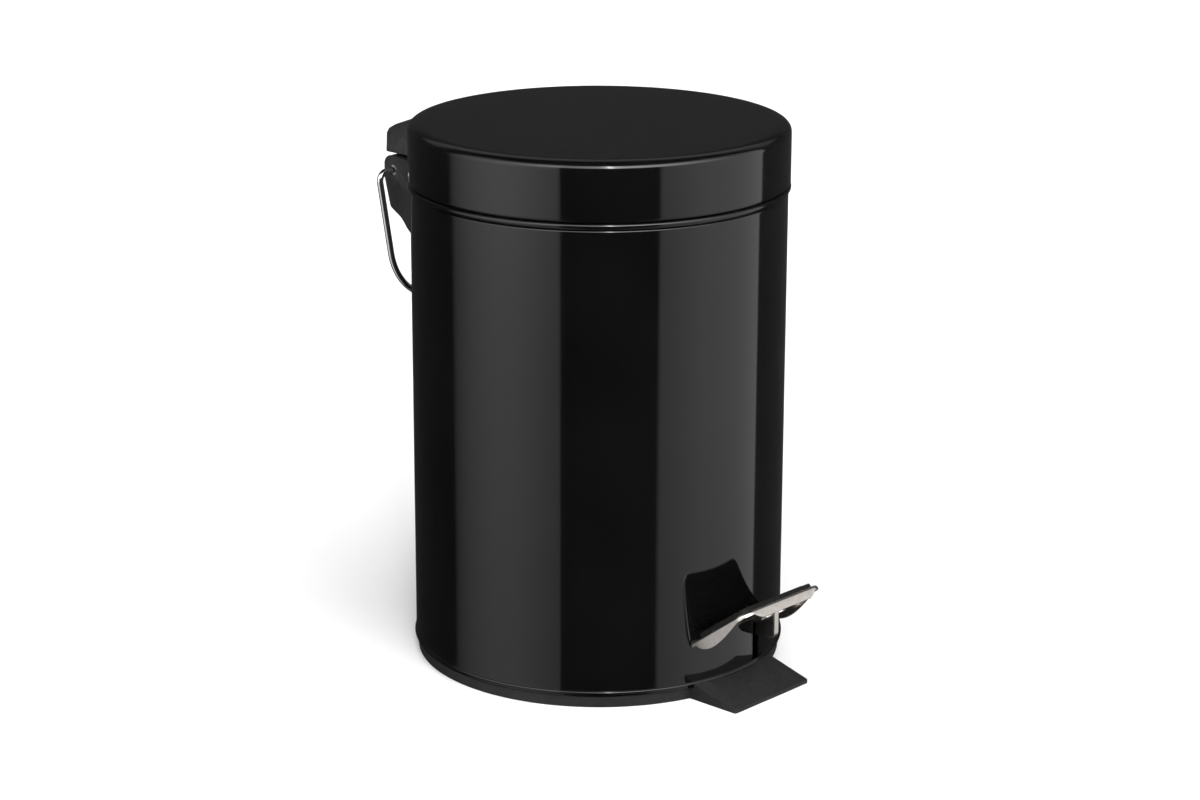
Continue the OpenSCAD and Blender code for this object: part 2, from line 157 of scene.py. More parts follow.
def arc(cx, cy, r, start, end, steps=8):
    return [
        (cx + r * math.cos(math.radians(a)), cy + r * math.sin(math.radians(a)))
        for a in np.linspace(start, end, steps + 1)
    ]


def box_outline(a0, a1, b0, b1):
    return [(a0, b0), (a1, b0), (a1, b1), (a0, b1)]


def turned(name, profile, windows=()):
    """A closed outline of (radius, z) turned about the bin's axis.

    A window is (first angle, last angle, low z, high z). It goes through both walls of the outline.
    """
    angles = set(np.round(np.linspace(0, 360, TURN_STEPS, endpoint=False), 4))
    for a0, a1, _, _ in windows:
        angles = {a for a in angles if min(abs(a - a0), abs(a - a1)) > 0.3} | {a0, a1}
    angles = sorted(angles)
    n, m = len(angles), len(profile)
    verts = [
        (r * math.cos(math.radians(a)), r * math.sin(math.radians(a)), z) for a in angles for r, z in profile
    ]
    faces = []
    for j in range(n):
        k = (j + 1) % n
        middle = (angles[j] + (angles[k] if k else 360)) / 2
        spans = [(low - 1e-6, high + 1e-6) for a0, a1, low, high in windows if a0 < middle < a1]
        for i in range(m):
            h = (i + 1) % m
            z0, z1 = sorted((profile[i][1], profile[h][1]))
            is_wall = z1 - z0 > 1
            if is_wall and any(low <= z0 and z1 <= high for low, high in spans):
                continue
            faces.append((j * m + i, k * m + i, k * m + h, j * m + h))
    ob = make(name, verts, faces)
    if windows:
        bm = bmesh.new()
        bm.from_mesh(ob.data)
        for a0, a1, low, high in windows:
            edges = []
            for e in bm.edges:
                c = (e.verts[0].co + e.verts[1].co) / 2
                a = math.degrees(math.atan2(c.y, c.x)) % 360
                if e.is_boundary and a0 - 1 < a < a1 + 1 and low - 1 < c.z / MM < high + 1:
                    edges.append(e)
            bmesh.ops.bridge_loops(bm, edges=edges)
        bm.to_mesh(ob.data)
        bm.free()
        finish_mesh(ob)
    return ob


def between_ends(name, near, far):
    """A solid between two flat outlines with the same number of points."""
    n = len(near)
    faces = [tuple(range(n)), tuple(range(2 * n - 1, n - 1, -1))]
    faces += [(i, (i + 1) % n, n + (i + 1) % n, n + i) for i in range(n)]
    return make(name, [*near, *far], faces)


def prism(name, outline, x0, x1):
    """An outline of (y, z) extruded along X."""
    return between_ends(name, *([(x, y, z) for y, z in outline] for x in (x0, x1)))


def slab(name, outline, z0, z1):
    """An outline of (x, y) extruded along Z."""
    return between_ends(name, *([(x, y, z) for x, y in outline] for z in (z0, z1)))


def swept(name, points, radii, sides=28):
    """Round wire of one radius or a list of them along points, with flat ends."""
    p = np.array(points, float)
    radii = np.broadcast_to(radii, len(p))
    t = np.gradient(p, axis=0)
    t /= np.linalg.norm(t, axis=1)[:, None]
    u = np.cross(t[0], (0.3, 0.5, 0.81))
    u /= np.linalg.norm(u)
    verts, faces = [], []
    for i in range(len(p)):
        u = u - (u @ t[i]) * t[i]
        u /= np.linalg.norm(u)
        v = np.cross(t[i], u)
        for k in range(sides):
            a = 2 * math.pi * k / sides
            verts.append(p[i] + radii[i] * (math.cos(a) * u + math.sin(a) * v))
    for i in range(len(p) - 1):
        for k in range(sides):
            h = (k + 1) % sides
            faces.append((i * sides + k, i * sides + h, (i + 1) * sides + h, (i + 1) * sides + k))
    faces += [tuple(range(sides)), tuple(range((len(p) - 1) * sides, len(p) * sides))]
    return make(name, verts, faces, 50)


def circle(cx, cy, r, angles):
    return [(cx + r * math.cos(a), cy + r * math.sin(a)) for a in angles]


def rod_x(name, radius, x0, x1, y, z, sides=64):
    """A round bar along X."""
    return prism(name, circle(y, z, radius, [2 * math.pi * k / sides for k in range(sides)]), x0, x1)


def refined(node, width=0.15):
    """A CAD node with its fine edges broken, which stands for that node."""
    ob = new_object(node + "_detail", frame["nodes"][node].data.copy())
    bm = bmesh.new()
    bm.from_mesh(ob.data)
    bmesh.ops.remove_doubles(bm, verts=bm.verts, dist=2e-6)
    bmesh.ops.dissolve_limit(bm, angle_limit=math.radians(0.6), verts=bm.verts, edges=bm.edges)
    bm.to_mesh(ob.data)
    bm.free()
    finish_mesh(ob)
    if width:
        bevel(ob, width, 2, 50)
    return ob


# ---------------------------------------------------------------- materials


def node(tree, kind, inputs=(), **settings):
    """A shader node. Inputs are (socket, value or other socket)."""
    made = tree.nodes.new(kind)
    for key, value in settings.items():
        setattr(made, key, value)
    for key, value in inputs:
        if isinstance(value, bpy.types.NodeSocket):
            tree.links.new(value, made.inputs[key])
        else:
            made.inputs[key].default_value = value
    return made


def maths(tree, operation, a, b=0.0):
    return node(tree, "ShaderNodeMath", [(0, a), (1, b)], operation=operation).outputs[0]


def noise(tree, where, scale, detail=2.0, stretch=(1, 1, 1)):
    mapped = node(tree, "ShaderNodeMapping", [("Vector", where), ("Scale", stretch)])
    inputs = [("Vector", mapped.outputs[0]), ("Scale", scale), ("Detail", detail)]
    made = node(tree, "ShaderNodeTexNoise", inputs)
    return made.outputs["Fac"]


def ranged(tree, value, low, high, start=0.3, end=0.7, **settings):
    """A value between start and end brought between low and high."""
    inputs = [("Value", value), ("From Min", start), ("From Max", end), ("To Min", low), ("To Max", high)]
    return node(tree, "ShaderNodeMapRange", inputs, **settings).outputs["Result"]


def mixed(tree, factor, a, b):
    made = node(tree, "ShaderNodeMix", data_type="RGBA")
    for socket, value in (("A", a), ("B", b)):
        target = [s for s in made.inputs if s.name == socket and s.type == "RGBA"][0]
        if isinstance(value, bpy.types.NodeSocket):
            tree.links.new(value, target)
        else:
            target.default_value = (*value, 1)
    tree.links.new(factor, made.inputs["Factor"])
    return [s for s in made.outputs if s.type == "RGBA"][0]


def surface(
    name,
    colours,
    colour_scale,
    roughness,
    roughness_scale,
    bumps,
    metallic=0.0,
    ior=1.5,
    stretch=(1, 1, 1),
    edge_wear_and_highlight=None,
    shine=0.5,
):
    """A procedural material.

    A bump is (noise scale, depth in metres, detail, stretch). Edge_wear_and_highlight is (colour, how far it shows
    on edges): convex edges made lighter, partly for wear and partly as a painted highlight.
    """
    m = bpy.data.materials.new(name)
    m.use_nodes = True
    t = m.node_tree
    t.nodes.clear()
    out = node(t, "ShaderNodeOutputMaterial")
    inputs = [("Metallic", metallic), ("IOR", ior), ("Specular IOR Level", shine)]
    bsdf = node(t, "ShaderNodeBsdfPrincipled", inputs)
    t.links.new(bsdf.outputs[0], out.inputs[0])
    where = node(t, "ShaderNodeTexCoord").outputs["Object"]
    patches = noise(t, where, colour_scale, 4, stretch)
    colour = mixed(t, ranged(t, patches, 0, 1), *colours)
    # Lighter convex edges: partly wear, partly a painted highlight where edges catch the light
    if edge_wear_and_highlight:
        edge = node(t, "ShaderNodeNewGeometry").outputs["Pointiness"]
        edge_wear_highlight_mask = ranged(t, edge, 0, edge_wear_and_highlight[1], 0.505, 0.58)
        broken = maths(t, "MULTIPLY", edge_wear_highlight_mask, ranged(t, noise(t, where, 600, 3), 0.3, 1))
        colour = mixed(t, broken, colour, edge_wear_and_highlight[0])
    t.links.new(colour, bsdf.inputs["Base Color"])
    smudge = noise(t, where, roughness_scale, 3, stretch)
    t.links.new(ranged(t, smudge, *roughness), bsdf.inputs["Roughness"])
    normal = None
    for scale, depth, detail, pull in bumps:
        height = noise(t, where, scale, detail, pull)
        inputs = [("Height", height), ("Distance", depth), ("Strength", 1.0)]
        if normal:
            inputs.append(("Normal", normal))
        normal = node(t, "ShaderNodeBump", inputs).outputs[0]
    if normal:
        t.links.new(normal, bsdf.inputs["Normal"])
    return m


EVEN = (1, 1, 1)
MATERIALS = {
    "black_paint": surface(
        "black_enamel",
        ((0.0017, 0.0017, 0.0018), (0.0026, 0.0026, 0.0027)),
        30,
        (0.05, 0.085),
        18,
        [(22, 0.00001, 1, EVEN), (650, 0.0000012, 1, EVEN)],
    ),
    "black_plastic": surface(
        "moulded_plastic",
        ((0.006, 0.006, 0.0064), (0.0105, 0.0102, 0.0102)),
        260,
        (0.5, 0.62),
        140,
        [(1500, 0.00003, 2, EVEN), (240, 0.00002, 2, EVEN)],
        # Lighter convex edges, partly wear and partly a painted highlight
        edge_wear_and_highlight=((0.04, 0.04, 0.04), 0.8),
        shine=0.22,
    ),
    "dark_rubber": surface(
        "ribbed_rubber",
        ((0.0028, 0.0028, 0.003), (0.005, 0.0049, 0.0048)),
        300,
        (0.62, 0.8),
        200,
        [(2600, 0.00003, 2, EVEN)],
        # Lighter convex edges, partly wear and partly a painted highlight
        edge_wear_and_highlight=((0.02, 0.019, 0.018), 0.6),
        shine=0.1,
    ),
    "nickel_plate": surface(
        "satin_nickel",
        ((0.6, 0.56, 0.525), (0.67, 0.635, 0.6)),
        400,
        (0.2, 0.27),
        300,
        [(900, 0.0000006, 1, (1, 2, 2)), (160, 0.000004, 1, EVEN)],
        metallic=1.0,
    ),
    "chrome_wire": surface(
        "bright_chrome",
        ((0.8, 0.8, 0.81), (0.88, 0.88, 0.885)),
        300,
        (0.045, 0.09),
        260,
        [(900, 0.000003, 2, EVEN)],
        metallic=1.0,
    ),
    "zinc_steel": surface(
        "zinc_plated_steel",
        ((0.5, 0.51, 0.5), (0.66, 0.67, 0.67)),
        350,
        (0.26, 0.42),
        500,
        [(1100, 0.00001, 3, EVEN)],
        metallic=1.0,
    ),
    "grey_plastic": surface(
        "bucket_plastic",
        ((0.04, 0.042, 0.044), (0.05, 0.052, 0.055)),
        120,
        (0.34, 0.46),
        90,
        [(1300, 0.00002, 2, EVEN), (160, 0.00003, 1, (1, 1, 0.1))],
    ),
}


def place(ob, body, slot_name, *stands_for):
    """Gives a piece its body and its material, and hides the CAD nodes that it stands for."""
    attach(ob, body)
    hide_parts(*stands_for)
    ob.data.materials.clear()
    ob.data.materials.append(MATERIALS[slot_name])
    flat = ob.modifiers.new("normals", "WEIGHTED_NORMAL")
    flat.keep_sharp = True
    return ob


# ---------------------------------------------------------------- shell, lid and base

lid_low, lid_high = span("lid_shell")
shell_low, shell_high = span("body_shell")
toe_reach = -span("base")[0][1]
lid_r = lid_high[0]
body_r = lid_r - 1
sheet = 0.8
body_in = body_r - sheet
ring_h = shell_low[2]
lid_z, total_h = lid_low[2], lid_high[2]
bead = 1.5
bead_z = lid_z - 0.3 - bead
bead_r = body_r - 0.3
neck_r = body_r - 1
neck_top = shell_high[2]
hinge = joint_point("lid_hinge")
hinge_y, hinge_z = hinge[1], hinge[2]
pivot = joint_point("pedal_pivot")
lever_x, pivot_y, pivot_z = pivot

rod_low = span("push_rod")[0]
rod_travel = next(j for j in frame["joints"] if j["name"] == "push_rod_slide")["range_m"][1] / MM
push_rod_x = rod_low[0] + 1.85
jog_bottom = hinge_z - 36.6  # where the rod starts to lean out through the wall

# Slots in the wall, as (low x, high x, low z, high z)
lever_slot = (lever_x - 2.6, lever_x + 2.6, 8.2, 29.8)
rod_slot = (push_rod_x - 3, push_rod_x + 3, jog_bottom + 2, jog_bottom + 2 + rod_travel + 9.5)


def window(slot, front):
    """A slot as a window for turned, in the front or the rear wall."""
    a = sorted(math.degrees(math.asin(x / body_r)) for x in slot[:2])
    if front:
        return (270 + a[0], 270 + a[1], slot[2], slot[3])
    return (90 - a[1], 90 - a[0], slot[2], slot[3])


def build_shell():
    foot_bead, flange = ring_h + 2.1, body_r - 7.7
    wall_rows = [lever_slot[2], lever_slot[3], 60, 110, 150, rod_slot[2], rod_slot[3]]
    profile = [(flange, ring_h), (body_r - 1, ring_h)]
    profile += arc(body_r - 0.8, ring_h + 0.8, 0.8, -80, 0, 5)
    profile += arc(body_r - 0.12, foot_bead, 0.82, -75, 75, 12)
    profile += [(body_r, z) for z in wall_rows]
    profile += arc(body_r - 1.1, bead_z - 2.7, 1.1, 0, 62, 8)
    profile += [(bead_r - 0.75, bead_z - 1.62)]
    profile += arc(bead_r, bead_z, bead, -62, 150, 24)
    profile += [(neck_r, bead_z + 2.2), (neck_r, neck_top - 0.3), (neck_r - 0.25, neck_top)]
    profile += [(neck_r - 0.55, neck_top), (neck_r - sheet, neck_top - 0.3), (neck_r - sheet, bead_z - 1.8)]
    profile += [(body_in, bead_z - 3.2)]
    profile += [(body_in, z) for z in reversed(wall_rows)]
    profile += [(body_in, ring_h + 1.4), (body_in - 0.6, ring_h + sheet), (flange, ring_h + sheet)]
    return turned("shell", profile, [window(lever_slot, True), window(rod_slot, False)])


def build_lid():
    corner, tight, wide, blend = 3.9, 3.3, 16, 16
    r_in, top_in = lid_r - sheet, total_h - sheet
    centre_z = total_h - wide * (1 - math.cos(math.radians(blend))) - tight * math.cos(math.radians(blend))
    wide_r = lid_r - tight + (tight - wide) * math.sin(math.radians(blend))
    profile = [(0, total_h), (40, total_h), (wide_r - 2, total_h)]
    profile += arc(wide_r, total_h - wide, wide, 90, 90 - blend, 10)
    profile += arc(lid_r - tight, centre_z, tight, 90 - blend, 0, 16)[1:]
    profile += [(lid_r, total_h - 8), (lid_r, lid_z + 4), (lid_r, lid_z + 1.6)]
    profile += arc(lid_r - 1.1, lid_z + 1.1, 1.1, 0, -90, 10)
    profile += [(lid_r - 1.2, lid_z + 0.4), (lid_r - 1.2, lid_z + 1.2), (r_in, lid_z + 1.8)]
    profile += [(r_in, total_h - corner)]
    profile += arc(lid_r - corner, total_h - corner, corner - sheet, 0, 90, 10)
    profile += [(lid_r - corner - 2, top_in), (40, top_in), (0, top_in)]
    return turned("lid", profile)


def build_base():
    ring_r = body_r - 0.95
    inner = body_r - 12
    profile = [(0, 0), (inner, 0)]
    profile += arc(ring_r - 0.5, 0.5, 0.5, -90, 0, 4)
    profile += arc(ring_r - 0.4, ring_h - 0.4, 0.4, 0, 90, 4)
    profile += [(body_r - 8.3, ring_h), (body_r - 8.3, ring_h + 1.6), (body_r - 8.6, ring_h + 1.8)]
    profile += [(body_r - 10.2, ring_h + 1.8), (body_r - 10.5, ring_h + 1.5), (body_r - 10.5, ring_h)]
    profile += [(inner, ring_h), (inner, 3), (0, 3)]
    base = turned("base_moulding", profile)
    # Toe plate
    half, tip, root = 25, 1.6, 7.4
    side = [(-70, 0), (-toe_reach, 0), (-toe_reach, tip), (-body_r + 1, root), (-70, root)]
    toe = prism("toe", side, -half, half)
    front = [(-half, -60), (-half, -toe_reach), (half, -toe_reach), (half, -60)]
    front = fillet(front, [0, 1.0, 1.0, 0], 6)
    combine(toe, slab("toe_plan", front, -1, 20), "INTERSECT")
    bevel(toe, 0.45, 3, 35)
    cut(toe, turned("room", box_outline(body_r - 6, body_r + 0.9, ring_h, 20)))
    cut(toe, turned("bore", box_outline(0, body_r - 5, -2, 20)))
    fuse(base, toe)
    # Block under the lever bracket, ribs and middle ring
    block_half, middle_in, middle_out, rib_half = 16, 26.2, 28, 0.8
    plan = box_outline(lever_x - block_half, lever_x + block_half, pivot_y - block_half, pivot_y + block_half)
    block = slab("block", plan, 1, 7)
    bevel(block, 0.4)
    fuse(base, block)
    for k in range(8):
        a = math.radians(22.5 + 45 * k)
        c, s = math.cos(a), math.sin(a)
        straight = box_outline(middle_in + 0.6, inner + 1, -rib_half, rib_half)
        fuse(base, slab("rib", [(u * c - v * s, u * s + v * c) for u, v in straight], 1, ring_h - 0.1))
    fuse(base, turned("middle", box_outline(middle_in, middle_out, 1, ring_h - 0.05)))
    # Seats of the anti-slip pads
    pad_ring, seat_r = 62, 7.05
    for k in range(4):
        a = math.radians(45 + 90 * k)
        steps = np.linspace(0, 2 * math.pi, 64, endpoint=False)
        plan = circle(pad_ring * math.cos(a), pad_ring * math.sin(a), seat_r, steps)
        cut(base, slab("seat", plan, -1, 2.2))
    return finish_mesh(base, 30)


place(build_shell(), "bin", "black_paint", "body_shell")
place(build_lid(), "lid", "black_paint", "lid_shell")
place(build_base(), "bin", "black_plastic", "base")


# ---------------------------------------------------------------- hinge

cap_high = span("lid_hinge_cap")[1]
bracket_low, bracket_high = span("hinge_bracket")
knuckle_r = 5.5
ear_in = 20
tube_r = 2.5


def build_cap():
    half = cap_high[0]
    side = [(lid_r - 9, lid_z + 19.9), (lid_r + 3.5, lid_z + 19.2), (lid_r + 18, lid_z + 13.8)]
    side += [(lid_r + 22.4, lid_z + 11.4), (lid_r + 23.9, lid_z + 9)]
    side += [(lid_r + 24.4, lid_z), (lid_r - 9, lid_z)]
    cap = prism("hinge_cap", fillet(side, [0, 3, 2, 1.5, 2, 0.8, 0], 5), -half, half)
    bevel(cap, 0.7, 4, 35)
    inner, outer = hinge_y - knuckle_r, hinge_y + knuckle_r
    block = [(inner, hinge_z), (inner, lid_z + 1), (outer, lid_z + 1), (outer, hinge_z)]
    block += arc(hinge_y, hinge_z, knuckle_r, -2, -178, 24)
    knuckle = prism("knuckle", block, -ear_in + 0.4, ear_in - 0.4)
    bevel(knuckle, 0.35, 2, 60)
    fuse(cap, knuckle)
    cut(cap, turned("lid_room", box_outline(0, lid_r + 0.03, lid_z - 1, lid_z + 40)))
    # Lug that the push rod lifts
    far, tip, slot, thick, lid_open = 15.2, 3.7, 2.36, 3.2, 75
    angle = math.radians(lid_open / 2)

    def on_lug(points):
        c, s = math.cos(angle), math.sin(angle)
        return [(hinge_y + c * u - s * v, hinge_z + s * u + c * v) for u, v in points]

    outline = [(0, -4.6), (0, 4.6)] + arc(-far, 0, tip, 90, 270, 20)
    lug = prism("lug", on_lug(outline), lever_x - thick / 2, lever_x + thick / 2)
    bevel(lug, 0.3, 2, 50)
    hole = arc(3.6 - far, 0, slot, -90, 90, 16) + arc(-far, 0, slot, 90, 270, 16)
    cut(lug, prism("lug_slot", on_lug(hole), lever_x - 4, lever_x + 4))
    fuse(cap, lug)
    cut(cap, rod_x("bore", tube_r + 0.06, -ear_in - 1, ear_in + 1, hinge_y, hinge_z))
    return finish_mesh(cap, 34)


def build_bracket():
    half = bracket_high[0]
    low = bracket_low[2]
    side = [(body_r - 4, low), (body_r + 3.4, low + 6), (body_r + 8.5, hinge_z - 33)]
    side += [(body_r + 12.5, hinge_z - 24), (body_r + 15, hinge_z - 21.4), (body_r + 21.8, hinge_z - 17.5)]
    side += [(hinge_y + 5.4, hinge_z - 4)]
    side = fillet(side, [0, 2, 5, 5, 5, 3, 0], 4)
    shelf = lid_z - 4
    side += [(hinge_y + knuckle_r, hinge_z)] + arc(hinge_y + 1, hinge_z + 2.3, knuckle_r - 1, 0, 90, 14)
    side += [(body_r + 3.5, shelf + 1.4), (body_r + 2.5, shelf), (body_r - 4, shelf)]
    bracket = prism("bracket", side, -half, half)
    foot_half, shoulder, ear_top = 16, hinge_z - 25, hinge_z + 8
    back = [(-half, ear_top), (-half, shoulder), (-foot_half, low)]
    back += [(-x, z) for x, z in reversed(back)]
    back = fillet(back, [0, 9, 9, 9, 9, 0], 6)
    behind, inside = ([(x, y, z) for x, z in back] for y in (hinge_y + 30, body_r - 20))
    combine(bracket, between_ends("back", behind, inside), "INTERSECT")
    bevel(bracket, 1.2, 4, 40)
    cut(bracket, turned("wall", box_outline(0, body_r + 0.05, 90, 260)))
    gap = box_outline(hinge_y - 7, hinge_y + 23, hinge_z - 6.2, hinge_z + 34)
    cut(bracket, prism("gap", gap, -ear_in, ear_in))
    channel = [(body_r - 6, hinge_z - 35), (body_r + 2, hinge_z - 33), (body_r + 11.2, hinge_z - 21)]
    channel += [(body_r + 17, hinge_z - 14), (body_r + 19.5, hinge_z - 7)]
    channel += [(body_r + 19.5, hinge_z + 20), (body_r - 6, hinge_z + 20)]
    cut(bracket, prism("channel", channel, push_rod_x - 4, lever_x + 5.5))
    cut(bracket, rod_x("bore", tube_r, -half - 1, half + 1, hinge_y, hinge_z))
    return finish_mesh(bracket, 34)


place(build_cap(), "lid", "black_plastic", "lid_hinge_cap")
place(build_bracket(), "bin", "black_plastic", "hinge_bracket")


# ---------------------------------------------------------------- carrying handle


def build_handle():
    wire, ring, drop, lean = 1.5, 30.3, 33.5, math.radians(10)
    shoulder = ring * math.cos(lean) + (drop + ring * math.sin(lean)) * math.tan(lean)
    sweep = circle(0, -drop, ring, np.linspace(-lean, -math.pi + lean, 60))
    path = fillet([(ear_in, 0), (shoulder, 0), sweep[0]], [0, 4, 0], 10, closed=False)
    left = [np.array((-x, z)) for x, z in reversed(path)]
    legs = [path[-2] + (np.array(sweep[0]) - path[-2]) * t for t in np.linspace(0.1, 0.9, 9)]
    legs_left = [np.array((-x, z)) for x, z in reversed(legs)]
    line = path[:-1] + legs + [np.array(p) for p in sweep] + legs_left + left[1:]
    return swept("wire_handle", [(x, hinge_y, hinge_z + z) for x, z in line], wire, 32)


place(build_handle(), "carry_handle", "chrome_wire", "carry_handle")


# ---------------------------------------------------------------- pedal

TILT = math.radians(36)
ROOT_Y, ROOT_Z = -body_r + 1, 29
PEDAL_HALF = span("pedal_plate")[1][0]
PEDAL_L = 33.8
FRONT_CORNER = 6.0


def on_pedal(x, u, z):
    """A point of the pedal: u is the way forward from its rear, z the height above its top."""
    c, s = math.cos(TILT), math.sin(TILT)
    return (x, ROOT_Y - u * c + z * s, ROOT_Z + u * s + z * c)


def rear_edge(x, z, clearance):
    """Where the pedal's rear follows the shell, at a distance from the shell."""
    r = body_r + clearance
    return (math.sqrt(r * r - x * x) + ROOT_Y + z * math.sin(TILT)) / math.cos(TILT)


def lobe(u):
    """Depth of the side skirt."""
    return 0.8 + 0.03 * u + 5.3 * math.sin(math.pi * min(1, max(0, (u + 2) / 32)) ** 0.571)


def rim_line(half, length, corner, clearance, side_steps=34):
    """Points round the pedal from its rear left to its rear right, with the way inwards at each."""
    start = rear_edge(half, 0, clearance)
    line = [(-half, u, 1.0, 0.0) for u in np.linspace(start, length - corner, side_steps)]
    for a in np.linspace(180, 90, 14)[1:]:
        c, s = math.cos(math.radians(a)), math.sin(math.radians(a))
        line.append((-half + corner + corner * c, length - corner + corner * s, -c, -s))
    for x in np.linspace(-half + corner, half - corner, 20)[1:]:
        line.append((x, length, 0.0, -1.0))
    for a in np.linspace(90, 0, 14)[1:]:
        c, s = math.cos(math.radians(a)), math.sin(math.radians(a))
        line.append((half - corner + corner * c, length - corner + corner * s, -c, -s))
    for u in np.linspace(length - corner, start, side_steps)[1:]:
        line.append((half, u, -1.0, 0.0))
    return line


def lidded(name, line, loops, clearance, rear_steps=26):
    """A pressed shape with its rear edge along the shell.

    Each loop is a function from a rim point to (inset, z). Flat faces close the first and the last.
    """
    rows = []
    for loop in loops:
        row = []
        for i, (x, u, nx, nu) in enumerate(line):
            inset, z = loop(x, u)
            px, pu = x + nx * inset, u + nu * inset
            if i in (0, len(line) - 1):
                pu = rear_edge(px, z, clearance)
            row.append((px, pu, z))
        rows.append(row)
    verts = [on_pedal(*p) for row in rows for p in row]
    n, m = len(line), len(rows)
    faces = [
        (i * n + j, i * n + j + 1, (i + 1) * n + j + 1, (i + 1) * n + j)
        for i in range(m - 1)
        for j in range(n - 1)
    ]
    rear = []
    for i in (0, m - 1):
        (x0, _, z), (x1, _, _) = rows[i][0], rows[i][-1]
        ids = [i * n]
        for x in np.linspace(x0, x1, rear_steps)[1:-1]:
            ids.append(len(verts))
            verts.append(on_pedal(x, rear_edge(x, z, clearance), z))
        ids.append(i * n + n - 1)
        rear.append(ids)
        faces.append(tuple(i * n + j for j in range(n)) + tuple(reversed(ids[1:-1])))
    faces += [(rear[0][k], rear[0][k + 1], rear[1][k + 1], rear[1][k]) for k in range(rear_steps - 1)]
    faces += [tuple(i * n for i in range(m)), tuple(i * n + n - 1 for i in reversed(range(m)))]
    return make(name, verts, faces, 40)


def build_pedal():
    bend, gauge, rim, front_depth, front_flat, clearance = 1.25, 1.0, 2.3, 4.8, 17, 1.3

    def depth(x, u):
        side = max(rim, lobe(u))
        if u < PEDAL_L - FRONT_CORNER:
            return side
        past_flat = max(0.0, abs(x) - front_flat) / (PEDAL_HALF - FRONT_CORNER - front_flat)
        front = front_depth - past_flat * (front_depth - rim)
        blend = min(1.0, max(0.0, (u - (PEDAL_L - FRONT_CORNER)) / FRONT_CORNER))
        return max(rim, side * (1 - blend) + front * blend)

    loops = [lambda x, u: (bend + 0.5, 0.0)]
    for a in np.linspace(0, math.pi / 2, 7):
        loops.append(lambda x, u, a=a: (bend * (1 - math.sin(a)), -bend * (1 - math.cos(a))))
    loops += [
        lambda x, u: (0.0, -depth(x, u) + 0.25),
        lambda x, u: (0.07, -depth(x, u) + 0.07),
        lambda x, u: (0.25, -depth(x, u)),
        lambda x, u: (gauge - 0.25, -depth(x, u)),
        lambda x, u: (gauge, -depth(x, u) + 0.25),
        lambda x, u: (gauge, -gauge - 0.3),
        lambda x, u: (gauge + 0.3, -gauge),
        lambda x, u: (bend + 0.5, -gauge),
    ]
    return lidded("pedal", rim_line(PEDAL_HALF, PEDAL_L, FRONT_CORNER, clearance), loops, clearance)


def build_pad():
    inset, corner, clearance = 2.4, 4.0, 3.2
    loops = [
        lambda x, u: (0.3, 0.0),
        lambda x, u: (0.0, 0.12),
        lambda x, u: (0.0, 1.35),
        lambda x, u: (0.12, 1.68),
        lambda x, u: (0.4, 1.88),
        lambda x, u: (0.8, 1.9),
    ]
    line = rim_line(PEDAL_HALF - inset, PEDAL_L - inset, corner, clearance)
    pad = lidded("pedal_rubber", line, loops, clearance)
    # Ribs across the pad, each with its ends and long edges lowered a little
    end, shoulder, buried = PEDAL_HALF - 5.5, PEDAL_HALF - 6.1, 1.5
    stations = [(-end, 2.05), (-shoulder, 2.4), (shoulder, 2.4), (end, 2.05)]
    crown = [(0.0, -0.25), (0.25, 0.0), (1.75, 0.0), (2.0, -0.25)]
    for i in range(6):
        front = PEDAL_L - 6 - 4.2 * i
        verts, faces = [], []
        for x, top in stations:
            verts.append(on_pedal(x, front, buried))
            verts += [on_pedal(x, front - back, top + drop) for back, drop in crown]
            verts.append(on_pedal(x, front - crown[-1][0], buried))
        k = len(crown) + 2
        for a in range(len(stations) - 1):
            for b in range(k):
                faces.append((a * k + b, a * k + (b + 1) % k, (a + 1) * k + (b + 1) % k, (a + 1) * k + b))
        faces += [tuple(range(k)), tuple(range(3 * k, 4 * k))]
        fuse(pad, make("rib", verts, faces))
    return finish_mesh(pad, 40)


def build_lever():
    def under(u, z):
        return on_pedal(0, u, -z)[1:]

    rod_r, half_height, blade_half = 1.75, 4.5, 1.5
    eye_y, eye_z = rod_low[1] + rod_r, rod_low[2] + rod_r
    wall, front = -body_r + 1.4, -94.7
    outline = [(eye_y, eye_z - 3.4), (pivot_y, pivot_z - half_height), (wall, pivot_z), (front, pivot_z)]
    outline += [under(13.2, 1.6), under(1, 1.6), (wall, 26.8), (pivot_y, pivot_z + half_height)]
    outline += [(eye_y, eye_z + 3.4)]
    outline = fillet(outline, [0, 40, 20, 4, 1, 1, 2, 30, 0], 8)
    outline += arc(eye_y, eye_z, 3.5, 76, -76, 18)
    lever = prism("lever", outline, lever_x - blade_half, lever_x + blade_half)
    bevel(lever, 0.3, 3, 35)
    boss = rod_x("boss", 5.5, lever_x - 3, lever_x + 3, pivot_y, pivot_z)
    bevel(boss, 0.3, 2, 60)
    fuse(lever, boss)
    plan = box_outline(lever_x - 7, lever_x + 7, 3.4, 14.4)
    tab = between_ends("tab", *([on_pedal(x, u, z) for x, u in plan] for z in (-2.5, -1.02)))
    bevel(tab, 0.3, 2, 60)
    fuse(lever, tab)
    cut(lever, rod_x("pin_hole", 2.06, lever_x - 9, lever_x + 9, pivot_y, pivot_z))
    cut(lever, rod_x("eye_hole", 2.1, lever_x - 5, lever_x + 5, eye_y + 0.05, eye_z))
    return finish_mesh(lever, 34)


place(build_pedal(), "pedal", "nickel_plate", "pedal_plate")
place(build_pad(), "pedal", "dark_rubber", "pedal_pad")
place(build_lever(), "pedal", "nickel_plate", "pedal_lever")


# ---------------------------------------------------------------- bucket

bucket_foot = span("inner_bucket")[0][2]
bail_z = joint_point("bucket_handle_swing")[2]
BAIL_RING = 69.4


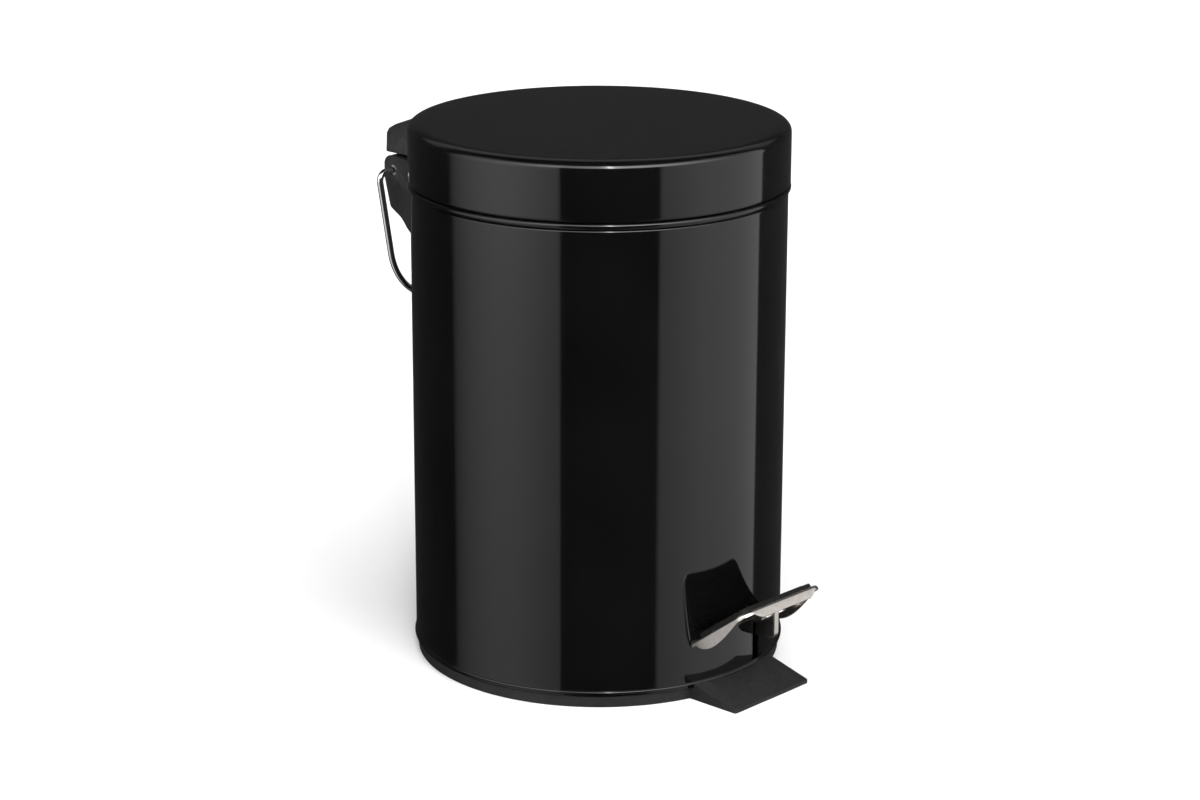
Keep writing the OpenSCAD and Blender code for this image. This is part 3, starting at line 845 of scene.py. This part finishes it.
def build_bucket():
    foot, lip = bucket_foot, neck_top
    rim_r, wall = neck_r + 0.2, 1.4
    profile = [(0, foot + 0.6), (48, foot + 0.6), (50, foot)]
    outside = [(50, foot), (66, foot), (72.5, lip), (80.5, lip)]
    profile += fillet(outside, [0, 3.2, 0.8, 0], 6, closed=False)[1:]
    profile += [(80.5, lip - 4.7), (80.8, lip - 5), (81.4, lip - 5), (81.7, lip - 4.7), (81.7, lip)]
    profile += arc(rim_r - 0.5, lip + 0.5, 0.5, -90, 0, 4) + arc(rim_r - 0.5, lip + 0.7, 0.5, 0, 90, 4)
    inside = [(80, lip + 1.2), (72.5 - wall, lip + 1.2), (66 - wall, foot + wall), (40, foot + wall)]
    profile += fillet(inside, [0, 1.0, 2.4, 0], 6, closed=False)
    profile += [(0, foot + wall)]
    bucket = turned("bucket", [tuple(p) for p in profile])
    for side in (-1, 1):
        x = side * 73.5
        outline = [(4, lip + 0.5)] + arc(0, bail_z, 4, 0, 180, 20) + [(-4, lip + 0.5)]
        lug = prism("bail_lug", outline, x - 2, x + 2)
        bevel(lug, 0.4, 2, 50)
        fuse(bucket, lug)
    cut(bucket, rod_x("bail_hole", 1.57, 60, 90, 0, bail_z, 40))
    cut(bucket, rod_x("bail_hole", 1.57, -90, -60, 0, bail_z, 40))
    return finish_mesh(bucket, 34)


def build_bail():
    wire, end = 1.45, 76.6
    line = circle(0, 0, BAIL_RING, np.linspace(math.radians(3), math.radians(177), 90))
    path = fillet([(end, 0), (BAIL_RING, 0), line[0]], [0, 2.2, 0], 8, closed=False)[:-1]
    path_left = [(-x, y) for x, y in reversed(path)]
    return swept("bucket_wire", [(x, y, bail_z) for x, y in [*path, *line, *path_left]], wire, 24)


def build_grip():
    """A grip with rounded ends and fine grooves."""
    start, stop, plain_end = 72, 108, 4
    angles = np.linspace(start, stop, 73)
    radii = []
    for a in angles:
        edge = min(a - start, stop - a)
        radius = 3.25 - 0.5 * max(0.0, 1 - edge) ** 2
        if edge > plain_end and int((a - start - plain_end) / 1.75) % 2 == 0:
            radius -= 0.22
        radii.append(radius)
    points = [(x, y, bail_z) for x, y in circle(0, 0, BAIL_RING, [math.radians(a) for a in angles])]
    return swept("bucket_grip", points, radii, 32)


place(build_bucket(), "bucket", "grey_plastic", "inner_bucket")
place(build_bail(), "bucket_bail", "chrome_wire", "bucket_handle")
place(build_grip(), "bucket_bail", "black_plastic", "bucket_handle_grip")


# ---------------------------------------------------------------- hardware that keeps the CAD's shape

slots = {s["node"]: s["material_slot"] for s in frame["record"]["subparts"]}
bodies = {n: b for b, ns in frame["record"]["behaviour"]["bodies"].items() for n in ns}
EDGES = {
    "anti_slip_pads": 0.2,
    "base_screws": 0.12,
    "bracket_backing_plate": 0.1,
    "bracket_screws": 0.12,
    "hinge_tube": 0.1,
    "rod_guide": 0.3,
    "lever_bracket": 0.25,
    "lever_bracket_screws": 0.12,
    "lever_pivot_pin": 0.15,
    "pivot_pin_clip": 0.1,
    "lid_backing_plate": 0.1,
    "lid_screws": 0.12,
    "push_rod": 0.15,
    "rod_clips": 0.1,
    "pedal_rivets": 0.2,
}
for name, width in EDGES.items():
    detail = refined(name, width)
    if name == "hinge_tube":
        detail.data.transform(Matrix.Scale(0.965, 4, (1, 0, 0)))
    place(detail, bodies[name], slots[name], name)


# ---------------------------------------------------------------- camera, floor and light

VIEW = Vector((0.70093, 0.65169, -0.28983)).normalized()
RIGHT = Vector((0.68151, -0.73181, 0.0027)).normalized()
UP = RIGHT.cross(VIEW).normalized()
TO_CAMERA = Vector((-VIEW.x, -VIEW.y, 0)).normalized()
TO_RIGHT = Vector((-TO_CAMERA.y, TO_CAMERA.x, 0))

camera = bpy.data.objects.new("camera", bpy.data.cameras.new("camera"))
bpy.context.scene.collection.objects.link(camera)
camera.data.sensor_width = 36
camera.data.lens = 3107.49 * 36 / 1200
camera.data.clip_start, camera.data.clip_end = 0.05, 100
turn = Matrix((RIGHT, UP, -VIEW)).transposed().to_4x4()
camera.matrix_world = Matrix.Translation((-0.98780, -0.91920, 0.52455)) @ turn
bpy.context.scene.camera = camera
bpy.context.scene.view_settings.view_transform = "Standard"


def build_floor():
    size = 60
    corners = [(x, y, 0) for x, y in box_outline(-size, size, -size, size)]
    mesh = bpy.data.meshes.new("floor")
    mesh.from_pydata(corners, [], [(0, 1, 2, 3)])
    floor = new_object("floor", mesh)
    m = surface("pale_floor", ((0.8, 0.8, 0.8), (0.82, 0.82, 0.82)), 3, (0.85, 0.9), 5, [])
    mesh.materials.append(m)
    floor.visible_glossy = False
    return floor


build_floor()


def ramp(tree, value, stops):
    made = node(tree, "ShaderNodeValToRGB", [("Fac", value)])
    elements = made.color_ramp.elements
    while len(elements) > 1:
        elements.remove(elements[-1])
    elements[0].position = stops[0][0]
    elements[0].color = (*[stops[0][1]] * 3, 1)
    for position, level in stops[1:]:
        e = elements.new(position)
        e.color = (level, level, level, 1)
    return made.outputs["Color"]


def dot(tree, a, vector):
    return node(tree, "ShaderNodeVectorMath", [(0, a), (1, vector)], operation="DOT_PRODUCT").outputs["Value"]


def smooth(tree, value, start, end, low, high):
    return ranged(tree, value, low, high, start, end, interpolation_type="SMOOTHSTEP")


# Softboxes at eye level: (degrees to the right of the camera's side, brightness)
PANELS = [
    (-180, 0.03), (-150, 0.03), (-100.5, 0.015), (-98.5, 0.18), (-96, 0.3), (-88, 0.52), (-80, 0.7),
    (-70, 0.88), (-60, 0.97), (-50, 0.95), (-38, 0.8), (-24, 0.6), (-22.5, 0.01), (0, 0.01), (35.8, 0.01),
    (37.3, 0.62), (65, 0.95), (95, 0.92), (112.5, 0.95), (114, 0.06), (150, 0.05), (172, 0.06), (180, 0.03),
]
# How the softboxes at the left and at the right change with height, and the brightness of the wall behind:
# 0 is straight down, 0.5 is level and 1 is straight up
LEFT_HEIGHT = [
    (0.0, 0.5), (0.318, 0.8), (0.352, 1.0), (0.373, 1.1), (0.388, 1.33), (0.5, 1.6), (0.62, 1.8), (0.75, 1.6),
    (0.85, 0.7), (0.93, 0.05),
]
RIGHT_HEIGHT = [
    (0.0, 0.5), (0.318, 0.88), (0.352, 1.0), (0.388, 1.12), (0.5, 1.25), (0.66, 1.15), (0.75, 0.7),
    (0.85, 0.35), (0.93, 0.05),
]
BEHIND = [
    (0.0, 0.03), (0.57, 0.057), (0.63, 0.055), (0.665, 0.035), (0.695, 0.04), (0.735, 0.24), (0.795, 0.24),
    (0.84, 0.08), (0.88, 0.02),
]
# Strip light above the camera, by degrees to the right of the camera's side
STRIP = [
    (-95, 0.0), (-70, 0.2), (-50, 1.0), (-37, 2.4), (-15, 3.2), (0, 4.5), (4.5, 9), (7, 24), (9.5, 10),
    (16, 6.2), (25, 6.2), (45, 4.0), (64, 2.2), (90, 0.4), (105, 0.0),
]


def build_studio():
    world = bpy.data.worlds.new("studio")
    bpy.context.scene.world = world
    world.use_nodes = True
    world.cycles.sampling_method = "NONE"
    t = world.node_tree
    t.nodes.clear()
    ray = node(t, "ShaderNodeTexCoord").outputs["Generated"]
    front, right, up = dot(t, ray, TO_CAMERA), dot(t, ray, TO_RIGHT), dot(t, ray, (0, 0, 1))
    azimuth = maths(t, "ARCTAN2", right, front)
    share = maths(t, "ADD", maths(t, "DIVIDE", azimuth, 2 * math.pi), 0.5)
    rise = maths(t, "ADD", maths(t, "MULTIPLY", up, 0.5), 0.5)

    def between(factor, a, b):
        """a where the factor is 0 and b where it is 1."""
        return maths(t, "ADD", a, maths(t, "MULTIPLY", factor, maths(t, "SUBTRACT", b, a)))

    at_right = smooth(t, right, -0.2, 0.2, 0, 1)
    height = between(at_right, ramp(t, rise, LEFT_HEIGHT), ramp(t, rise, RIGHT_HEIGHT))
    sides = maths(t, "MULTIPLY", ramp(t, share, [(a / 360 + 0.5, level) for a, level in PANELS]), height)
    behind = maths(t, "MULTIPLY", smooth(t, front, -0.35, -0.7, 0, 1), smooth(t, up, 0.0, 0.12, 0, 1))
    walls = between(behind, sides, ramp(t, rise, BEHIND))
    strip = ramp(t, share, [(a / 360 + 0.5, level) for a, level in STRIP])
    band = maths(t, "MULTIPLY", smooth(t, up, 0.24, 0.44, 0, 1), smooth(t, up, 0.87, 0.69, 0, 1))
    light = maths(t, "ADD", walls, maths(t, "MULTIPLY", strip, band))
    lit = node(t, "ShaderNodeBackground", [("Color", (1, 1, 1, 1)), ("Strength", light)])
    pale = node(t, "ShaderNodeBackground", [("Color", (0.93, 0.93, 0.93, 1)), ("Strength", 1.0)])
    seen = node(t, "ShaderNodeLightPath").outputs["Is Camera Ray"]
    both = node(t, "ShaderNodeMixShader", [(0, seen), (1, lit.outputs[0]), (2, pale.outputs[0])])
    out = node(t, "ShaderNodeOutputWorld")
    t.links.new(both.outputs[0], out.inputs[0])


build_studio()


def sun(name, strength, angle, azimuth, elevation):
    """Soft light that isn't seen in reflections. Azimuth is to the right of the camera's side."""
    data = bpy.data.lights.new(name, "SUN")
    data.energy = strength
    data.angle = math.radians(angle)
    ob = bpy.data.objects.new(name, data)
    bpy.context.scene.collection.objects.link(ob)
    a, e = math.radians(azimuth), math.radians(elevation)
    way = (TO_CAMERA * math.cos(a) + TO_RIGHT * math.sin(a)) * math.cos(e) + Vector((0, 0, math.sin(e)))
    ob.rotation_mode = "QUATERNION"
    ob.rotation_quaternion = way.to_track_quat("Z", "Y")
    ob.visible_glossy = False
    return ob


sun("overhead_softbox", 2.4, 70, 20, 68)
